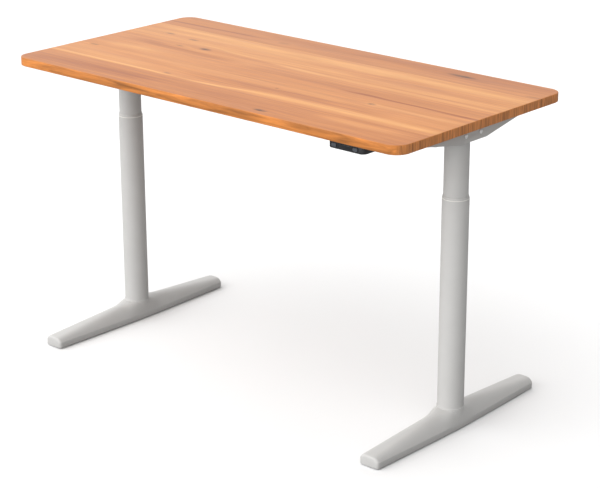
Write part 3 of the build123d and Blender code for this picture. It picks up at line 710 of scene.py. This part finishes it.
# The glide's lip on the rim: its height, how far in it is seated, how far it stands out and its rounding.
LIP_HEIGHT = 1.9 * MM
LIP_SEAT = 1.6 * MM
LIP_OUT = 0.4 * MM
LIP_EDGE = 0.5 * MM


class DESK_OT_columns(bpy.types.Operator):
    """Build the two-stage tubes, their rim collars and the glides in them"""
    bl_idname = "desk.columns"
    bl_label = "Columns"

    def execute(self, context):
        steps = context.scene.desk_sizes.round_steps
        for side in SIDES:
            axis = column_axis(side)
            self.tube(side, leg_body(side), axis, steps, *OUTER_TUBE)
            self.tube(side, FRAME_BODY, axis, steps, *INNER_TUBE)
            self.collar(side, axis, steps)
            self.glide(side, axis, steps)
        return {"FINISHED"}

    def tube(self, side, body, axis, steps, node, name, wall, ease):
        low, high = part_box(side + "_" + node)
        outer = (high.x - low.x) / 2
        inner = outer - wall
        profile = [(inner, low.z), (outer, low.z)]
        profile += arc(outer - ease, high.z - ease, ease, 0, 90, 4) + [(inner, high.z)]
        bm = turned(profile, axis, steps)
        put_piece(bm, side + "_" + name, body, "coat", side + "_" + node)

    def collar(self, side, axis, steps):
        """A cone from the outer tube's rim in to the inner tube, with a seat for the glide's lip."""
        low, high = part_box(side + "_rim_collar")
        outer = (high.x - low.x) / 2
        seat = low.z + LIP_HEIGHT
        profile = [(COLLAR_BORE, low.z), (outer - LIP_SEAT, low.z), (outer - LIP_SEAT, seat),
                   (outer - 0.5 * MM, seat), (outer - 0.6 * MM, seat + 0.4 * MM),
                   (COLLAR_BORE + 1.0 * MM, high.z - 0.5 * MM), (COLLAR_BORE + 0.6 * MM, high.z),
                   (COLLAR_BORE, high.z)]
        bm = turned(profile, axis, steps)
        put_piece(bm, side + "_collar", leg_body(side), "coat", side + "_rim_collar", smooth=28)

    def glide(self, side, axis, steps):
        """The acetal glide inside the rim, and its thin pale lip around the outside."""
        low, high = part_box(side + "_rim_collar")
        outer = (high.x - low.x) / 2
        top = low.z + LIP_HEIGHT
        lip = [(outer - LIP_SEAT, low.z), (outer, low.z)]
        lip += arc(outer - LIP_EDGE + LIP_OUT, top - LIP_EDGE, LIP_EDGE, 0, 90, 4)
        lip += [(outer - LIP_SEAT, top)]
        bm = refined_copy(side + "_lower_glide", 0.0)
        append(bm, turned(lip, axis, steps))
        put_piece(bm, side + "_rim_glide", leg_body(side), "acetal", side + "_lower_glide")


# ---- refined CAD pieces -----------------------------------------------------------------------------

# CAD node and name of the refined piece, on each side.
SIDE_CASTINGS = (
    ("column_head", "head_casting"),
    ("front_arm", "front_arm_casting"),
    ("rear_arm", "rear_arm_casting"),
)
SIDE_FASTENERS = (
    ("side_bolts", "head_bolts"),
    ("worktop_screws", "arm_screws"),
)
# Edges of the display and the fascia.
GLASS_EDGE = 0.1 * MM


def refine(node, name, finish, ease, body=FRAME_BODY):
    """Makes a finished piece of a CAD node's mesh, with its edges eased."""
    put_piece(refined_copy(node, ease), name, body, finish, node)


class DESK_OT_castings(bpy.types.Operator):
    """Build the column heads and the tapered arms under the worktop"""
    bl_idname = "desk.castings"
    bl_label = "Heads and Arms"

    def execute(self, context):
        ease = context.scene.desk_sizes.metal_ease
        for side in SIDES:
            for node, name in SIDE_CASTINGS:
                refine(side + "_" + node, side + "_" + name, "coat", ease)
        return {"FINISHED"}


class DESK_OT_fasteners(bpy.types.Operator):
    """Build the bolts and screws of the underframe"""
    bl_idname = "desk.fasteners"
    bl_label = "Fasteners"

    def execute(self, context):
        ease = context.scene.desk_sizes.small_ease
        for side in SIDES:
            for node, name in SIDE_FASTENERS:
                refine(side + "_" + node, side + "_" + name, "zinc", ease)
        refine("rail_bolts", "rail_plate_bolts", "zinc", ease)
        refine("panel_screws", "short_screws", "zinc", ease)
        return {"FINISHED"}


class DESK_OT_rails(bpy.types.Operator):
    """Build the two square rails with their end plates"""
    bl_idname = "desk.rails"
    bl_label = "Rails"

    def execute(self, context):
        ease = context.scene.desk_sizes.metal_ease
        for end in ("front", "rear"):
            refine(end + "_rail", end + "_square_rail", "coat", ease)
        return {"FINISHED"}


class DESK_OT_drive(bpy.types.Operator):
    """Build the motors"""
    bl_idname = "desk.drive"
    bl_label = "Motors"

    def execute(self, context):
        ease = context.scene.desk_sizes.metal_ease
        for side in SIDES:
            refine(side + "_motor", side + "_gear_motor", "motor", ease)
        return {"FINISHED"}


class DESK_OT_control_box(bpy.types.Operator):
    """Build the control box with its inlet and sockets"""
    bl_idname = "desk.control_box"
    bl_label = "Control Box"

    def execute(self, context):
        sizes = context.scene.desk_sizes
        refine("control_box_shell", "control_tray", "abs", sizes.small_ease)
        refine("control_box_lid", "control_lid", "abs", sizes.small_ease)
        refine("mains_inlet", "appliance_inlet", "abs", sizes.small_ease / 2)
        refine("socket_strip", "lead_sockets", "abs", sizes.small_ease)
        return {"FINISHED"}


class DESK_OT_handset(bpy.types.Operator):
    """Build the handset with its display and two keys"""
    bl_idname = "desk.handset"
    bl_label = "Handset"

    def execute(self, context):
        sizes = context.scene.desk_sizes
        refine("handset_housing", "handset_case", "abs", sizes.small_ease)
        refine("handset_fascia", "handset_front", "acrylic", GLASS_EDGE)
        refine("display_window", "handset_display", "acrylic", GLASS_EDGE)
        for way in ("up", "down"):
            refine(way + "_key", way + "_keypad", "key", 0.0, body=way + "_key")
        return {"FINISHED"}


# Finish of the CAD nodes inside each side.
INNER_FINISHES = {
    "foot_bolts": "zinc", "foot_pads": "rubber", "base_plug": "steel", "nut_tube": "steel",
    "spindle_nut": "acetal", "upper_glide": "acetal", "spindle": "steel", "bevel_gear": "steel",
    "drive_pinion": "steel", "spindle_bearing": "steel", "gearbox_housing": "cast",
}


class DESK_OT_inner_parts(bpy.types.Operator):
    """Give the pads and the parts inside the columns, gearboxes and housings their finishes"""
    bl_idname = "desk.inner_parts"
    bl_label = "Inner Parts"

    def execute(self, context):
        finishes = {side + "_" + node: finish for side in SIDES for node, finish in INNER_FINISHES.items()}
        finishes.update({"control_board": "board", "handset_board": "board"})
        for node, finish in finishes.items():
            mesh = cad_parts[node].data
            mesh.materials.clear()
            mesh.materials.append(MATERIALS[finish])
        return {"FINISHED"}


# ---- stage ------------------------------------------------------------------------------------------

# Wide soft lights: where each comes from, and its strength in the middle.
LIGHTS = (
    ((-0.70, -0.66, 0.45), 1.95),
    ((0.3, -0.95, 0.45), 2.1),
    ((-0.5, 0.85, 0.55), 1.45),
)
# How fast they fall off, as a power of the cosine.
LIGHT_FOCUS = 2.0
# Half the side of the floor, in metres, and the share of its light that it throws back onto the desk.
FLOOR_REACH = 30.0
FLOOR_BOUNCE = 0.45
# The camera stands in front and to the right of the desk, a little above it: degrees, metres, millimetres
# of lens, and share of the frame.
CAMERA_AZIMUTH = 41.09
CAMERA_ELEVATION = 19.44
CAMERA_DISTANCE = 5.104
CAMERA_AIM = (0.142, 0.0, 0.413)
CAMERA_LENS = 110.08
CAMERA_SHIFT = (-0.0311, -0.0022)


class DESK_OT_stage(bpy.types.Operator):
    """Build the pale floor, the soft studio light and the camera"""
    bl_idname = "desk.stage"
    bl_label = "Stage"

    def execute(self, context):
        scene = context.scene
        scene.view_settings.view_transform = "Standard"
        self.floor()
        self.light(scene)
        self.camera(scene)
        return {"FINISHED"}

    def floor(self):
        """A pale floor. Only a share of its light reaches the desk, so that the shaded sides stay dark."""
        bm = bmesh.new()
        bmesh.ops.create_grid(bm, x_segments=1, y_segments=1, size=FLOOR_REACH)
        mesh = bpy.data.meshes.new("studio_floor")
        bm.to_mesh(mesh)
        bm.free()
        material, tree, shader = new_material("matt_studio_floor")
        seen = add_node(tree, "ShaderNodeLightPath").outputs["Is Camera Ray"]
        share = add_node(tree, "ShaderNodeMapRange", {"Value": seen, "To Min": FLOOR_BOUNCE, "To Max": 1.0})
        white = tinted(tree, hex_colour("ECECEC"), speckle(tree, 0.4), 0.995, 1.0)
        paint = add_node(tree, "ShaderNodeVectorMath", {0: white, "Scale": share.outputs["Result"]},
                         operation="SCALE")
        tree.links.new(paint.outputs["Vector"], shader.inputs["Base Color"])
        shader.inputs["Roughness"].default_value = 0.9
        shader.inputs["Specular IOR Level"].default_value = 0.1
        mesh.materials.append(material)
        floor = bpy.data.objects.new("studio_floor", mesh)
        bpy.context.scene.collection.objects.link(floor)

    def light(self, scene):
        """Wide soft lights, dark on the right, and plain white where the camera sees past the floor."""
        world = bpy.data.worlds.new("soft_studio")
        world.use_nodes = True
        tree = world.node_tree
        tree.nodes.clear()
        where = add_node(tree, "ShaderNodeTexCoord").outputs["Generated"]

        def work(operation, a, b):
            return add_node(tree, "ShaderNodeMath", {0: a, 1: b}, operation=operation).outputs[0]

        glow = 0.0
        for direction, strength in LIGHTS:
            towards = add_node(tree, "ShaderNodeVectorMath", {0: where, 1: Vector(direction).normalized()},
                               operation="DOT_PRODUCT").outputs["Value"]
            lobe = work("POWER", work("MAXIMUM", towards, 0.0), LIGHT_FOCUS)
            glow = work("ADD", work("MULTIPLY", lobe, strength), glow)
        white = hex_colour("FFFFFF")
        lights = add_node(tree, "ShaderNodeBackground", {"Color": white, "Strength": glow}).outputs[0]
        plain = add_node(tree, "ShaderNodeBackground", {"Color": white}).outputs[0]
        seen = add_node(tree, "ShaderNodeLightPath").outputs["Is Camera Ray"]
        surface = add_node(tree, "ShaderNodeMixShader", {0: seen, 1: lights, 2: plain}).outputs[0]
        add_node(tree, "ShaderNodeOutputWorld", {"Surface": surface})
        scene.world = world

    def camera(self, scene):
        turn = math.radians(CAMERA_AZIMUTH)
        tilt = math.radians(CAMERA_ELEVATION)
        back = Vector((math.sin(turn) * math.cos(tilt), -math.cos(turn) * math.cos(tilt), math.sin(tilt)))
        data = bpy.data.cameras.new("camera")
        data.sensor_width = 36.0
        data.lens = CAMERA_LENS
        data.shift_x, data.shift_y = CAMERA_SHIFT
        camera = bpy.data.objects.new("camera", data)
        camera.location = Vector(CAMERA_AIM) + back * CAMERA_DISTANCE
        camera.rotation_euler = (math.pi / 2 - tilt, 0.0, turn)
        scene.collection.objects.link(camera)
        scene.camera = camera


# ---- add-on -----------------------------------------------------------------------------------------

OPERATORS = (
    DESK_OT_stage,
    DESK_OT_worktop,
    DESK_OT_feet,
    DESK_OT_columns,
    DESK_OT_castings,
    DESK_OT_fasteners,
    DESK_OT_rails,
    DESK_OT_drive,
    DESK_OT_control_box,
    DESK_OT_handset,
    DESK_OT_inner_parts,
)


class DESK_PT_panel(bpy.types.Panel):
    """The desk's pieces and settings"""
    bl_idname = "DESK_PT_panel"
    bl_label = "Desk"
    bl_space_type = "VIEW_3D"
    bl_region_type = "UI"
    bl_category = "Desk"

    def draw(self, context):
        for operator in OPERATORS:
            self.layout.operator(operator.bl_idname)
        for group in (context.scene.desk_sizes, context.scene.desk_colours):
            box = self.layout.box()
            for name in group.__annotations__:
                box.prop(group, name)


CLASSES = (DeskSizes, DeskColours, *OPERATORS, DESK_PT_panel)


def register():
    for cls in CLASSES:
        bpy.utils.register_class(cls)
    bpy.types.Scene.desk_sizes = PointerProperty(type=DeskSizes)
    bpy.types.Scene.desk_colours = PointerProperty(type=DeskColours)


def unregister():
    del bpy.types.Scene.desk_colours
    del bpy.types.Scene.desk_sizes
    for cls in reversed(CLASSES):
        bpy.utils.unregister_class(cls)


def make_materials(colours):
    MATERIALS.update({
        "wood": oiled_wood(colours), "coat": powder_coat(colours), "zinc": zinc_plate(),
        "steel": turned_steel(), "cast": die_cast(), "motor": motor_paint(), "abs": moulded_abs(colours),
        "acrylic": smoked_acrylic(), "key": key_rubber(), "acetal": acetal(), "rubber": pad_rubber(),
        "board": solder_mask(),
    })


def main():
    register()
    make_materials(bpy.context.scene.desk_colours)
    for operator in OPERATORS:
        getattr(bpy.ops.desk, operator.bl_idname.split(".")[1])()


if __name__ == "__main__":
    main()
